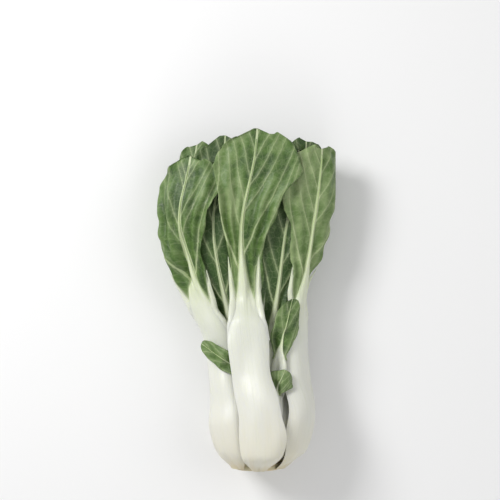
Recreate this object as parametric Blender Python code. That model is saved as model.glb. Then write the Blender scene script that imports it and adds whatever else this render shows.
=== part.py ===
"""A head of bok choy, harvested with its root cut off, lying on its back.

The cut end points along -Y, the leaf tips along +Y, and the head's front faces +Z.
The origin is the middle of the flat spot that the back stalk rests on.

Every leaf is wrapped round the head from the inside out. A place on the head is told by three
numbers: its turn round the head's flattened core (0 degrees is +X, 90 degrees is the front), its
height above the cut end, and its depth out from the core. Each leaf lies on what is already
packed under it, so no two leaves cross. Lengths here are millimetres until a mesh is made.
"""

import math
from dataclasses import dataclass

import bpy
import numpy as np

MM = 0.001
HEAD_HEIGHT = 323.0
REST_HEIGHT = 43.0

# The head's core, by height: half its width, half its thickness, and where its middle lies.
CORE_HALF_WIDTH = ((0, 6), (20, 15), (45, 22), (90, 24), (130, 29), (160, 39), (200, 50), (240, 58), (280, 60), (330, 60))
CORE_HALF_DEPTH = ((0, 3), (20, 5), (45, 6), (90, 7), (160, 9), (240, 11), (330, 12))
MIDDLE_X = ((0, 9), (45, 9), (150, 1), (240, -4), (300, 4), (330, 5))
MIDDLE_Z = ((0, 41), (45, 41), (120, 37.5), (200, 34), (330, 34))

CROWN_PROFILE = ((0, 15.0), (5, 15.5), (13, 12.0), (21, 7.0), (28, 3.0))
CROWN_SIDES = 20

LEAF_THICKNESS = 0.9
RIB_SEAM = 0.45
WING = 1.6
NEST_GAP = 1.0
STALK_EDGE = 1.4
ROUNDING_TURN = math.radians(20)
ROUNDING_LENGTH = 15.0

# Shares of a stalk's half width and depth along it: 0 at its foot, 1 where the blade starts and
# 2 at the leaf's tip, past which it is the midrib.
STALK_WIDTH = ((0, 0.5), (0.09, 0.84), (0.2, 1.0), (0.36, 0.95), (0.6, 0.88), (0.82, 0.88), (0.93, 0.84),
               (1.02, 0.55), (1.12, 0.33), (1.3, 0.16), (1.6, 0.08), (2.0, 0.05))
STALK_DEPTH = ((0, 0.6), (0.12, 0.9), (0.3, 1.0), (0.6, 0.85), (1.0, 0.6), (1.2, 0.4), (1.5, 0.22), (2.0, 0.1))
STALK_END = 1.93
# Share of a blade's half width along it: 0 at its start and 1 at its tip.
BROAD_BLADE = ((0, 0.2), (0.1, 0.29), (0.25, 0.43), (0.4, 0.64), (0.55, 0.84), (0.68, 0.97), (0.77, 1.0),
               (0.85, 0.95), (0.92, 0.78), (0.97, 0.53), (1.0, 0.25))
SPOON_BLADE = ((0, 0.26), (0.1, 0.34), (0.27, 0.41), (0.45, 0.54), (0.6, 0.73), (0.72, 0.92), (0.8, 1.0),
               (0.87, 0.96), (0.93, 0.8), (0.97, 0.57), (1.0, 0.27))
OVAL_BLADE = ((0, 0.14), (0.08, 0.32), (0.2, 0.62), (0.35, 0.88), (0.5, 1.0), (0.65, 0.98), (0.8, 0.85),
              (0.9, 0.64), (0.96, 0.42), (1.0, 0.18))

STALK_GREEN_WHITE = (0.80, 0.83, 0.70, 1)
BLADE_GREEN = (0.13, 0.25, 0.06, 1)
CROWN_CREAM = (0.78, 0.76, 0.58, 1)


@dataclass
class Leaf:
    """One leaf. Turns, in degrees, and heights are at the foot, the blade's start and the tip.

    The slant is how far one side of the tip hangs lower, uneven is how much wider the blade's right
    side starts than its left, and stiff_to is how far along itself the leaf stays stiff.
    """

    name: str
    turns: tuple
    heights: tuple
    stalk_width: float
    stalk_depth: float
    blade_width: float
    spread: float
    outline: tuple = BROAD_BLADE
    tuck: float = 2.0
    slant: float = 4.0
    uneven: float = 0.0
    waves: float = 3.0
    wave_height: float = 2.0
    stiff_to: float = 0.85
    stalk_rows: int = 6
    stalk_columns: int = 4
    blade_rows: int = 8
    side_columns: int = 4


INNER = dict(stalk_rows=5, blade_rows=6, side_columns=3)
SMALL = dict(outline=OVAL_BLADE, waves=1.5, wave_height=0.8, stiff_to=-0.5, stalk_columns=2, blade_rows=6, side_columns=2)

# From the heart out, the order in which they grew and in which they are packed.
LEAVES = (
    Leaf("heart_back", (250, 250, 250), (21, 105, 235), 17, 3.5, 38, 2, **INNER),
    Leaf("heart_front", (92, 92, 92), (19, 115, 262), 19, 3.8, 46, 3, **INNER),
    Leaf("inner_back", (300, 300, 300), (17, 125, 285), 21, 4.2, 54, 5, **INNER),
    Leaf("inner_right", (30, 34, 34), (15, 130, 319), 23, 4.6, 56, 7, slant=-6, **INNER),
    Leaf("inner_left", (172, 172, 146), (13, 132, 315), 25, 5.0, 54, 9, slant=8, **INNER),
    Leaf("back_left", (238, 240, 236), (11, 136, 300), 28, 5.5, 76, 11, **INNER),
    Leaf("far_right", (-8, -6, 8), (9, 140, 308), 29, 5.8, 66, 12, slant=-6, **INNER),
    Leaf("front_left", (116, 122, 114), (7, 112, 321), 27, 6.0, 70, 14, slant=9, **INNER),
    Leaf("front_right", (52, 50, 46), (6, 108, 311), 27, 6.0, 72, 15, slant=-8, **INNER),
    Leaf("left_back", (205, 198, 184), (4, 128, 284), 34, 7.0, 92, 23, tuck=9, slant=-10),
    Leaf("right_back", (324, 330, 338), (3, 146, 300), 34, 7.0, 86, 18, slant=6),
    Leaf("left", (156, 158, 148), (2, 148, 300), 36, 7.5, 74, 22, SPOON_BLADE, slant=8),
    Leaf("right", (12, 12, 20), (1.5, 148, 311), 36, 7.5, 80, 20, SPOON_BLADE, slant=-4, uneven=-0.2),
    Leaf("small_left", (98, 110, 168), (16, 86, 121), 10, 2.6, 23, 28, **SMALL),
    Leaf("small_right", (68, 44, 31), (16, 106, 165), 12, 2.4, 28, 26, **SMALL),
    Leaf("small_low", (76, 56, 40), (22, 74, 98), 8, 2.2, 25, 28, **SMALL),
    Leaf("back", (268, 270, 272), (1, 150, 306), 40, 8.5, 98, 22, slant=-5),
    Leaf("front", (83, 93, 86), (0.6, 155, 325), 36, 8.5, 90, 24, SPOON_BLADE, slant=10, uneven=0.34),
)

TURN_STEPS = 720
HEIGHT_STEP = 2.0
FLOW_ROWS = 111
FLOW_COLUMNS = 61
BULGE_RADIUS = 45.0
# How hollow a stiff stalk may lie, and how softly a blade lifts off what is under it.
MOST_HOLLOW = 2.0
STIFF_REACH = 5
MEET_GAP = 0.75
MEET_REACH = 1.5
LOBE_SHARE = 0.05
STALK_ROUNDNESS = 2.3


def spline(knots, at):
    """A smooth curve through the knots, level past its ends."""
    x, y = np.array(knots, float).T
    slope = np.gradient(y, x)
    at = np.clip(at, x[0], x[-1])
    i = np.clip(np.searchsorted(x, at) - 1, 0, len(x) - 2)
    width = x[i + 1] - x[i]
    t = (at - x[i]) / width
    return (y[i] * (1 + 2 * t) * (1 - t) ** 2 + slope[i] * width * t * (1 - t) ** 2
            + y[i + 1] * t * t * (3 - 2 * t) + slope[i + 1] * width * t * t * (t - 1))


def ease(x):
    """0 below 0, 1 above 1 and a smooth rise between."""
    x = np.clip(x, 0, 1)
    return x * x * (3 - 2 * x)


def core_speed(turn, height):
    """The core's half width and thickness, and how fast its edge passes as the turn grows."""
    a = spline(CORE_HALF_WIDTH, height)
    b = spline(CORE_HALF_DEPTH, height)
    return a, b, np.hypot(a * np.sin(turn), b * np.cos(turn))


def place(turn, depth, height):
    """World points, in millimetres."""
    a, b, edge = core_speed(turn, height)
    x = spline(MIDDLE_X, height) + np.cos(turn) * (a + depth * b / edge)
    z = spline(MIDDLE_Z, height) + np.sin(turn) * (b + depth * a / edge)
    return np.stack([x, height - REST_HEIGHT, z], axis=-1)


def floor_depth(turn, height):
    """The depth at which the head's underside would meet the surface that it lies on."""
    a, b, edge = core_speed(turn, height)
    down = np.maximum(-np.sin(turn), 0.05)
    depth = (spline(MIDDLE_Z, height) / down - b) * edge / a
    return np.where(np.sin(turn) < -0.05, depth, 1000)


class Wrap:
    """How deep the head is already packed, on a grid of height and turn."""

    def __init__(self):
        self.heights = np.arange(-4, HEAD_HEIGHT + 12, HEIGHT_STEP)
        crown = np.where(self.heights < CROWN_PROFILE[-1][0], spline(CROWN_PROFILE, self.heights), 0)
        self.depth = np.repeat(crown[:, None], TURN_STEPS, axis=1)

    def cells(self, turn, height):
        column = (turn / (2 * math.pi) * TURN_STEPS) % TURN_STEPS
        row = np.clip((height - self.heights[0]) / HEIGHT_STEP, 0, len(self.heights) - 1.001)
        return row, column

    def widened(self, rows, columns):
        """The deepest packing within so many cells."""
        grid = self.depth
        for shift in range(1, columns + 1):
            grid = np.maximum(grid, np.maximum(np.roll(self.depth, shift, 1), np.roll(self.depth, -shift, 1)))
        wide = grid
        for shift in range(1, rows + 1):
            wide = np.maximum(wide, np.pad(grid, ((shift, 0), (0, 0)), "edge")[:-shift])
            wide = np.maximum(wide, np.pad(grid, ((0, shift), (0, 0)), "edge")[shift:])
        return wide

    def read(self, grid, turn, height):
        row, column = self.cells(turn, height)
        r, c = row.astype(int), column.astype(int)
        fr, fc = row - r, column - c
        c, c1 = c % TURN_STEPS, (c + 1) % TURN_STEPS
        near = grid[r, c] * (1 - fc) + grid[r, c1] * fc
        far = grid[r + 1, c] * (1 - fc) + grid[r + 1, c1] * fc
        return near * (1 - fr) + far * fr

    def add(self, turn, height, depth):
        row, column = self.cells(turn, height)
        r, c = np.rint(row).astype(int), np.rint(column).astype(int) % TURN_STEPS
        np.maximum.at(self.depth, (r, c), depth)


def smooth_over(grid, reach, axis):
    """The grid's upper envelope, rounded off over so many cells each way along one axis."""
    kernel = np.hanning(2 * reach + 3)[1:-1]
    kernel /= kernel.sum()

    def windows(values):
        pad = [(0, 0), (0, 0)]
        pad[axis] = (reach, reach)
        return np.lib.stride_tricks.sliding_window_view(np.pad(values, pad, "edge"), 2 * reach + 1, axis)

    return windows(windows(grid).max(-1)) @ kernel


def over_the_top(grid, across):
    """For each row, a low and gentle arch that clears the whole row, as a stiff stalk lies."""
    basis = np.stack([np.ones_like(across), across, across ** 2])
    shape = (np.linalg.pinv(basis.T) @ grid.T).T
    shape[:, 2] = np.minimum(shape[:, 2], MOST_HOLLOW)
    fitted = shape @ basis
    return fitted + (grid - fitted).max(axis=1, keepdims=True)


def resample(grid, s, u):
    """A flow grid read at shares s along the leaf and u across it."""
    row = np.clip(s, 0, 1) * (FLOW_ROWS - 1)
    column = (np.clip(u, -1, 1) + 1) / 2 * (FLOW_COLUMNS - 1)
    r = np.clip(row.astype(int), 0, FLOW_ROWS - 2)
    c = np.clip(column.astype(int), 0, FLOW_COLUMNS - 2)
    fr, fc = row - r, column - c
    near = grid[r, c] * (1 - fc) + grid[r, c + 1] * fc
    far = grid[r + 1, c] * (1 - fc) + grid[r + 1, c + 1] * fc
    return near * (1 - fr) + far * fr


class LaidLeaf:
    """A leaf packed on what lies under it, as a flow grid of share s along it and u across it."""

    def __init__(self, leaf, wrap):
        self.leaf = leaf
        self.phases = np.random.default_rng(round(leaf.heights[2] * 10)).uniform(0, 2 * math.pi, 6)
        s = np.linspace(0, 1, FLOW_ROWS)[:, None]
        u = np.linspace(-1, 1, FLOW_COLUMNS)[None, :]
        packed = wrap.widened(2, 5)
        self.lay_middle(s[:, 0])
        self.flow_out(s, u, wrap, packed)
        raw = wrap.read(packed, self.turn, self.height) + NEST_GAP
        stiff = smooth_over(over_the_top(raw, u[0]), STIFF_REACH, 0)
        soft = smooth_over(smooth_over(raw, 4, 1), 3, 0)
        limp = ease((self.along(s) - self.leaf.stiff_to) / 0.5)
        held = ease(self.along(s) / 0.12)
        under = raw * (1 - held) + (stiff * (1 - limp) + soft * limp) * held
        room = floor_depth(self.turn, self.height) - LEAF_THICKNESS - self.stalk_lift(s) - self.stalk_depth(s, 0)
        want = np.minimum(self.stand_out(s, u), room)
        self.inner = np.maximum(under, want) + MEET_GAP * np.exp(-np.abs(under - want) / MEET_REACH) * held
        self.pack_into(wrap)

    def lay_middle(self, s):
        """Sets the turn and height of the leaf's midline, evenly along its length."""
        t = np.linspace(0, 2, 241)
        turn = np.radians(spline(tuple(zip((0, 1, 2), self.leaf.turns)), t))
        height = spline(tuple(zip((0, 1, 2), self.leaf.heights)), t)
        length = np.concatenate([[0], np.cumsum(np.hypot(np.diff(height), BULGE_RADIUS * np.diff(turn)))])
        self.split = np.interp(1, t, length) / length[-1]
        self.mid_turn = np.interp(s * length[-1], length, turn)
        self.mid_height = np.interp(s * length[-1], length, height)

    def along(self, s):
        """0 at the foot, 1 where the blade starts and 2 at the tip."""
        return np.where(s < self.split, s / self.split, 1 + (s - self.split) / (1 - self.split))

    def stalk_half(self, s):
        return spline(STALK_WIDTH, self.along(s)) * self.leaf.stalk_width / 2

    def half(self, s, u):
        """Half the leaf's width on the side that u is on, with the blade's lobed edge."""
        p = np.clip(self.along(s) - 1, 0, 1)
        phase = np.where(u < 0, self.phases[0], self.phases[1])
        lobes = 1 + LOBE_SHARE * np.sin(p * 2 * math.pi * (self.leaf.waves + 0.7) + phase) * ease(p * 3)
        side = 1 + self.leaf.uneven * np.sign(u) * ease(p * 4) * (1 - p)
        outline = spline(self.leaf.outline, p) * self.leaf.blade_width / 2
        return np.maximum(outline * lobes * side, self.stalk_half(s) + WING)

    def flow_out(self, s, u, wrap, packed):
        """Sets the turn and height of every point of the flow grid, outward from the midline."""
        reach = wrap.read(packed, self.mid_turn, self.mid_height) + NEST_GAP
        reach = np.maximum(smooth_over(reach[:, None], 6, 0)[:, 0], self.stand_out(s, 0 * s)[:, 0])
        a, b, edge = core_speed(self.mid_turn, self.mid_height)
        step = np.gradient(self.mid_turn) * (edge + reach * a * b / edge ** 2)
        heading = np.arctan2(step, np.gradient(self.mid_height))
        lateral = u * self.half(s, u)
        drop = self.leaf.slant * np.clip(self.along(s) - 1, 0, 1) ** 3
        self.height = self.mid_height[:, None] + lateral * np.sin(heading)[:, None]
        self.height -= np.abs(drop) * np.maximum(-u * np.sign(drop), 0) ** 2
        self.turn = np.repeat(self.mid_turn[:, None], FLOW_COLUMNS, axis=1)
        middle = FLOW_COLUMNS // 2
        for side in (1, -1):
            for k in range(1, middle + 1):
                here, last = middle + side * k, middle + side * (k - 1)
                a, b, edge = core_speed(self.turn[:, last], self.height[:, last])
                across = (lateral[:, here] - lateral[:, last]) * np.cos(heading)
                self.turn[:, here] = self.turn[:, last] - across / (edge + reach * a * b / edge ** 2)

    def stand_out(self, s, u):
        """How far out the blade would stand by itself: it spreads, rolls and ruffles."""
        leaf = self.leaf
        p = self.along(s) - 1
        blade = ease(p / 0.55)
        ruffle = np.sin(p * 2 * math.pi * leaf.waves + np.where(u < 0, self.phases[2], self.phases[3]))
        roll = np.sin(p * 7 + self.phases[4]) * np.sin(u * 2.2 + self.phases[5])
        rim = ease((np.abs(u) - 0.35) / 0.65)
        tuck = leaf.tuck * ease((p - 0.6) / 0.4)
        return leaf.spread * blade - tuck + leaf.wave_height * rim * ruffle * ease(p / 0.3) + 1.2 * roll * blade

    def stalk_depth(self, s, across):
        """The stalk's thickness, full in the middle and thin at its edges."""
        full = spline(STALK_DEPTH, self.along(s)) * self.leaf.stalk_depth
        edge = np.minimum(STALK_EDGE, full * 0.55)
        return edge + (full - edge) * (1 - np.abs(across) ** STALK_ROUNDNESS)

    def stalk_lift(self, s):
        """Past the blade's start the midrib stands on the blade's back."""
        return (LEAF_THICKNESS + RIB_SEAM) * ease((self.along(s) - 0.86) / 0.12)

    def pack_into(self, wrap):
        """Adds the leaf's outer side to the packing."""
        s = np.linspace(0, 1, 300)[:, None] * np.ones((1, 201))
        u = np.ones((300, 1)) * np.linspace(-1, 1, 201)[None, :]
        inner = resample(self.inner, s, u)
        across = u * self.half(s, u) / self.stalk_half(s)
        blade = np.where(self.along(s) < 1, 0, inner + LEAF_THICKNESS)
        on_stalk = (np.abs(across) <= 1) & (self.along(s) <= STALK_END)
        stalk = inner + self.stalk_lift(s) + self.stalk_depth(s, np.clip(across, -1, 1))
        wrap.add(resample(self.turn, s, u), resample(self.height, s, u), np.where(on_stalk, stalk, blade))

    def side_shares(self, s, start, side):
        """Shares u from the stalk's edge to the leaf's, closer together where the leaf wraps round."""
        u = side * np.linspace(start, 1, 61)
        line = np.full(u.shape, s)
        turn, height = resample(self.turn, line, u), resample(self.height, line, u)
        a, b, _ = core_speed(turn, height)
        facing = np.unwrap(np.arctan2(a * np.sin(turn), b * np.cos(turn)))
        points = place(turn, resample(self.inner, line, u), height)
        length = np.linalg.norm(np.diff(points, axis=0), axis=1)
        cost = length / ROUNDING_LENGTH + np.abs(np.diff(facing)) / ROUNDING_TURN
        measure = np.concatenate([[0], np.cumsum(cost)]) / cost.sum()
        return np.interp(np.linspace(0, 1, self.leaf.side_columns + 1)[1:], measure, u)

    def sheet(self, s, u, lift):
        turn, height, inner = (resample(grid, s, u) for grid in (self.turn, self.height, self.inner))
        return place(turn, inner + lift, height)

    def blade_shares(self):
        """Shares s along the blade for its rows, closer together at the tip."""
        p = 1 - (1 - np.linspace(0, 1, self.leaf.blade_rows + 1)) ** 1.35
        return self.split + p * (1 - self.split)

    def stalk_columns(self, rows):
        """Places across the stalk, -1 at its left edge and 1 at its right, for so many rows."""
        across = np.sin(np.linspace(-0.97, 0.97, self.leaf.stalk_columns + 1) * math.pi / 2)
        return (across / across[-1])[None, :] * np.ones((rows, 1))

    def blade_sheets(self):
        """Rows of points on the blade's inner and outer sides, in step with the midrib on its back."""
        s = self.blade_shares()
        middle = self.stalk_half(s)[:, None] * self.stalk_columns(len(s))
        u = middle / self.half(s[:, None], middle)
        left = [self.side_shares(share, -row[0], -1)[::-1] for share, row in zip(s, u)]
        right = [self.side_shares(share, row[-1], 1) for share, row in zip(s, u)]
        u = np.hstack([left, u, right])
        s = s[:, None] * np.ones_like(u)
        return self.sheet(s, u, 0), self.sheet(s, u, LEAF_THICKNESS)

    def stalk_sheets(self):
        """Rows of points on the stalk's inner and outer sides."""
        s = self.split * np.linspace(0, 1, self.leaf.stalk_rows + 1)[:-1] ** 1.45
        s = np.concatenate([s, self.blade_shares()[:-1]])
        across = self.stalk_columns(len(s))
        s = s[:, None] * np.ones_like(across)
        lateral = across * self.stalk_half(s)
        u = lateral / self.half(s, lateral)
        lift = self.stalk_lift(s)
        return self.sheet(s, u, lift), self.sheet(s, u, lift + self.stalk_depth(s, across))


def slab_faces(rows, columns):
    """Triangles of a slab between two like grids of points: both sides, split alike, and its rim."""
    across = columns + 1
    other = (rows + 1) * across
    faces = []
    for r in range(rows):
        for c in range(columns):
            a, b, d, e = r * across + c, r * across + c + 1, (r + 1) * across + c, (r + 1) * across + c + 1
            faces += [(a, b, e), (a, e, d)]
            faces += [(other + e, other + b, other + a), (other + d, other + e, other + a)]
    rim = [c for c in range(columns)]
    rim += [r * across + columns for r in range(rows)]
    rim += [rows * across + c for c in range(columns, 0, -1)]
    rim += [r * across for r in range(rows, 0, -1)]
    for here, after in zip(rim, rim[1:] + rim[:1]):
        faces += [(here, other + here, other + after), (here, other + after, after)]
    return faces


def add_solid(name, points, faces, material):
    mesh = bpy.data.meshes.new(name)
    mesh.from_pydata([tuple(p) for p in points], [], faces)
    if signed_volume(points, faces) < 0:
        mesh.flip_normals()
    mesh.shade_smooth()
    mesh.set_sharp_from_angle(angle=math.radians(50))
    mesh.materials.append(material)
    solid = bpy.data.objects.new(name, mesh)
    bpy.context.scene.collection.objects.link(solid)
    return solid


def signed_volume(points, faces):
    corners = np.array(points)[np.array(faces)]
    return np.linalg.det(corners).sum() / 6


def add_slab(name, inner, outer, material):
    """A closed solid between two sheets of points, kept above the surface that the head rests on."""
    rows, columns = inner.shape[0] - 1, inner.shape[1] - 1
    outer[..., 2] = np.maximum(outer[..., 2], 0)
    inner[..., 2] = np.maximum(inner[..., 2], LEAF_THICKNESS)
    points = np.concatenate([outer.reshape(-1, 3), inner.reshape(-1, 3)])
    return add_solid(name, points * MM, slab_faces(rows, columns), material)


def add_crown(material):
    """The short stem that every leaf grows from: a cut face and a blunt cone."""
    turns = np.linspace(0, 2 * math.pi, CROWN_SIDES, endpoint=False)
    rings = [place(turns, np.full(CROWN_SIDES, radius - 0.2), np.full(CROWN_SIDES, float(height)))
             for height, radius in CROWN_PROFILE]
    points = np.concatenate(rings) * MM
    faces = []
    for ring in range(len(rings) - 1):
        for k in range(CROWN_SIDES):
            a, b = ring * CROWN_SIDES + k, ring * CROWN_SIDES + (k + 1) % CROWN_SIDES
            faces += [(a, b, b + CROWN_SIDES), (a, b + CROWN_SIDES, a + CROWN_SIDES)]
    last = (len(rings) - 1) * CROWN_SIDES
    for k in range(1, CROWN_SIDES - 1):
        faces += [(0, k + 1, k), (last, last + k, last + k + 1)]
    return add_solid("crown", points, faces, material)


def plain_material(name, colour, roughness):
    material = bpy.data.materials.new(name)
    material.use_nodes = True
    shader = material.node_tree.nodes["Principled BSDF"]
    shader.inputs["Base Color"].default_value = colour
    shader.inputs["Roughness"].default_value = roughness
    material.diffuse_color = colour
    return material


def clear_scene():
    for thing in list(bpy.data.objects):
        bpy.data.objects.remove(thing, do_unlink=True)


def main():
    clear_scene()
    stalk_finish = plain_material("stalk", STALK_GREEN_WHITE, 0.35)
    blade_finish = plain_material("leaf", BLADE_GREEN, 0.45)
    add_crown(plain_material("crown", CROWN_CREAM, 0.6))
    wrap = Wrap()
    for leaf in LEAVES:
        laid = LaidLeaf(leaf, wrap)
        add_slab(leaf.name + "_stalk", *laid.stalk_sheets(), stalk_finish)
        add_slab(leaf.name + "_blade", *laid.blade_sheets(), blade_finish)
    return wrap


main()
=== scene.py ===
"""The looks of a head of bok choy that lies on its back.

The leaves are packed by the same rule and values as the solids, then each stalk and blade gets a fine
skin in the place of its solid: ribbed ivory stalks that run out into midribs, and blades with wavy
margins, veins and puckered tissue. Lengths are millimetres until a mesh is made.
"""

import math
from dataclasses import dataclass

import bmesh
import bpy
import numpy as np
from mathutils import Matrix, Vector


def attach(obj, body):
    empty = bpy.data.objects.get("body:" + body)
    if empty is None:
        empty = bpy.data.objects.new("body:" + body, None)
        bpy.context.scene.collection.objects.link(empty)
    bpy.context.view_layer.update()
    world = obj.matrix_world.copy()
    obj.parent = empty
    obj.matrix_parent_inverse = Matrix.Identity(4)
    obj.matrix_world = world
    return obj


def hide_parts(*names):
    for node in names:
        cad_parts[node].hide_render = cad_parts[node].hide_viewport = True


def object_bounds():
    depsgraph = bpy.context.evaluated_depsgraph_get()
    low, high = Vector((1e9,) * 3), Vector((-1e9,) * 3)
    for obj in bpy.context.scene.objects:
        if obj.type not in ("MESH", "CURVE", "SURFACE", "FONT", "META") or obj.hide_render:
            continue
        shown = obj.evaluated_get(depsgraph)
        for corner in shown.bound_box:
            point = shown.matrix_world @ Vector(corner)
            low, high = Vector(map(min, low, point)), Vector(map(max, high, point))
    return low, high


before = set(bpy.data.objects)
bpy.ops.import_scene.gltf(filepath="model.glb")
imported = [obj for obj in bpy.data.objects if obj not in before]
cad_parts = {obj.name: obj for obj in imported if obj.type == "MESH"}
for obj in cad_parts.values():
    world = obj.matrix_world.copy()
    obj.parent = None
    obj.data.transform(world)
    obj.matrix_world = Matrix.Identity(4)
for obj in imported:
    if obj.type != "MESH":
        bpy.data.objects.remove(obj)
cad_box = [list(map(float, corner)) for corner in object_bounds()]

MM = 0.001
BOX_LOW, BOX_HIGH = np.array(cad_box) / MM
HEAD_HEIGHT = 323.0
REST_HEIGHT = 43.0

# The head's core, by height: half its width, half its thickness, and where its middle lies.
CORE_HALF_WIDTH = ((0, 6), (20, 15), (45, 22), (90, 24), (130, 29), (160, 39), (200, 50), (240, 58),
                   (280, 60), (330, 60))
CORE_HALF_DEPTH = ((0, 3), (20, 5), (45, 6), (90, 7), (160, 9), (240, 11), (330, 12))
MIDDLE_X = ((0, 9), (45, 9), (150, 1), (240, -4), (300, 4), (330, 5))
MIDDLE_Z = ((0, 41), (45, 41), (120, 37.5), (200, 34), (330, 34))
# The crown's solid and its skin, as height and distance out from the core.
CROWN_PROFILE = ((0, 15.0), (5, 15.5), (13, 12.0), (21, 7.0), (28, 3.0))
CROWN_SKIN = ((0.9, 0.02), (0.75, 2.5), (0.62, 5.0), (0.5, 7.5), (0.4, 9.5), (0.3, 11.5), (0.16, 13.3),
              (0.05, 14.6), (0.5, 15.5), (1.6, 16.2), (5, 16.6), (9, 15.2), (13, 12.6), (17, 9.8), (21, 6.9),
              (25, 4.6), (27.8, 2.8), (27.9, 0.3))
CROWN_SIDES = 96

LEAF_THICKNESS = 0.9
RIB_SEAM = 0.45
WING = 1.6
NEST_GAP = 1.0
STALK_EDGE = 1.4

# Shares of a stalk's half width and depth along it: 0 at its foot, 1 where the blade starts and
# 2 at the leaf's tip, past which it is the midrib.
STALK_WIDTH = ((0, 0.5), (0.09, 0.84), (0.2, 1.0), (0.36, 0.95), (0.6, 0.88), (0.82, 0.88), (0.93, 0.84),
               (1.02, 0.55), (1.12, 0.33), (1.3, 0.16), (1.6, 0.08), (2.0, 0.05))
STALK_DEPTH = ((0, 0.6), (0.12, 0.9), (0.3, 1.0), (0.6, 0.85), (1.0, 0.6), (1.2, 0.4), (1.5, 0.22),
               (2.0, 0.1))
STALK_END = 1.93
# Share of a blade's half width along it: 0 at its start and 1 at its tip.
BROAD_BLADE = ((0, 0.2), (0.1, 0.29), (0.25, 0.43), (0.4, 0.64), (0.55, 0.84), (0.68, 0.97), (0.77, 1.0),
               (0.85, 0.95), (0.92, 0.78), (0.97, 0.53), (1.0, 0.25))
SPOON_BLADE = ((0, 0.26), (0.1, 0.34), (0.27, 0.41), (0.45, 0.54), (0.6, 0.73), (0.72, 0.92), (0.8, 1.0),
               (0.87, 0.96), (0.93, 0.8), (0.97, 0.57), (1.0, 0.27))
OVAL_BLADE = ((0, 0.14), (0.08, 0.32), (0.2, 0.62), (0.35, 0.88), (0.5, 1.0), (0.65, 0.98), (0.8, 0.85),
              (0.9, 0.64), (0.96, 0.42), (1.0, 0.18))


@dataclass
class Leaf:
    """One leaf. Turns, in degrees, and heights are at the foot, the blade's start and the tip.

    The blade spreads outward and its tip tucks in again. The slant is how far one side of the tip hangs
    lower, uneven is how much wider the blade's right side starts than its left, and stiff_to is how far
    along itself the leaf stays stiff. The grain is the size of its skin's faces.
    """

    name: str
    turns: tuple
    heights: tuple
    stalk_width: float
    stalk_depth: float
    blade_width: float
    spread: float
    outline: tuple = BROAD_BLADE
    tuck: float = 2.0
    slant: float = 4.0
    uneven: float = 0.0
    waves: float = 3.0
    wave_height: float = 2.0
    stiff_to: float = 0.85
    grain: float = 1.5
    pleats: float = 0.6


SMALL = dict(outline=OVAL_BLADE, waves=1.5, wave_height=0.8, stiff_to=-0.5, grain=0.8, pleats=0.3)
OUTER = dict(grain=1.2, pleats=4.0)
EDGE = dict(grain=1.2, pleats=2.4)

# From the heart out, the order in which they grew and in which they are packed.
LEAVES = (
    Leaf("heart_back", (250, 250, 250), (21, 105, 235), 17, 3.5, 38, 2, grain=2.0),
    Leaf("heart_front", (92, 92, 92), (19, 115, 262), 19, 3.8, 46, 3, grain=2.0),
    Leaf("inner_back", (300, 300, 300), (17, 125, 285), 21, 4.2, 54, 5, grain=2.0),
    Leaf("inner_right", (30, 34, 34), (15, 130, 319), 23, 4.6, 56, 7, slant=-6),
    Leaf("inner_left", (172, 172, 146), (13, 132, 315), 25, 5.0, 54, 9, slant=8),
    Leaf("back_left", (238, 240, 236), (11, 136, 300), 28, 5.5, 76, 11),
    Leaf("far_right", (-8, -6, 8), (9, 140, 308), 29, 5.8, 66, 12, slant=-6),
    Leaf("front_left", (116, 122, 114), (7, 112, 321), 27, 6.0, 70, 14, slant=9),
    Leaf("front_right", (52, 50, 46), (6, 108, 311), 27, 6.0, 72, 15, slant=-8),
    Leaf("left_back", (205, 198, 184), (4, 128, 284), 34, 7.0, 92, 23, tuck=9, slant=-10, **OUTER),
    Leaf("right_back", (324, 330, 338), (3, 146, 300), 34, 7.0, 86, 18, slant=6, **OUTER),
    Leaf("left", (156, 158, 148), (2, 148, 300), 36, 7.5, 74, 22, SPOON_BLADE, slant=8, **OUTER),
    Leaf("right", (12, 12, 20), (1.5, 148, 311), 36, 7.5, 80, 20, SPOON_BLADE, slant=-4, uneven=-0.2,
         **EDGE),
    Leaf("small_left", (98, 110, 168), (16, 86, 121), 10, 2.6, 23, 28, **SMALL),
    Leaf("small_right", (68, 44, 31), (16, 106, 165), 12, 2.4, 28, 26, **SMALL),
    Leaf("small_low", (76, 56, 40), (22, 74, 98), 8, 2.2, 25, 28, **SMALL),
    Leaf("back", (268, 270, 272), (1, 150, 306), 40, 8.5, 98, 22, slant=-5, **OUTER),
    Leaf("front", (83, 93, 86), (0.6, 155, 325), 36, 8.5, 90, 24, SPOON_BLADE, slant=10, uneven=0.34,
         **OUTER),
)

# How pale each leaf's underside is, from deep green at 0 to pale sage at 1, and how pale the others are. The
# values below 0 for front_left and front_right are painted shade, as those leaves lie in the slits between
# the outer ones.
PALENESS_AND_SHADE = {"left": 0.38, "front": 0.42, "right": 0.72, "back": 0.6, "left_back": 0.5, "right_back": 0.5,
            "front_left": -0.12, "front_right": -0.05, "small_left": 0.46, "small_right": 0.28,
            "small_low": 0.35}
INNER_PALENESS = 0.15

# The grids on which the head is packed and a leaf flows, and the radius that turns are measured at.
TURN_STEPS = 720
HEIGHT_STEP = 2.0
FLOW_ROWS = 111
FLOW_COLUMNS = 61
PACK_GRID = (300, 201)
BULGE_RADIUS = 45.0
# How hollow a stiff stalk may lie, over how many rows it is evened out, how softly a blade lifts off what
# is under it, how deep the blades' lobes are, and how square a stalk's section is.
MOST_HOLLOW = 2.0
STIFF_REACH = 5
MEET_GAP = 0.75
MEET_REACH = 1.5
LOBE_SHARE = 0.05
STALK_ROUNDNESS = 2.3
# Where the stalk narrows, and where its midrib has come up onto the blade's back, along the leaf.
SHOULDER = 0.93
ONTO_BLADE = (0.86, 0.12)

# How softly the skins are held back at the sides and at the ends and top of the solids' box.
SOFT_SIDE = 0.7
SOFT_TOP = 0.3

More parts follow.
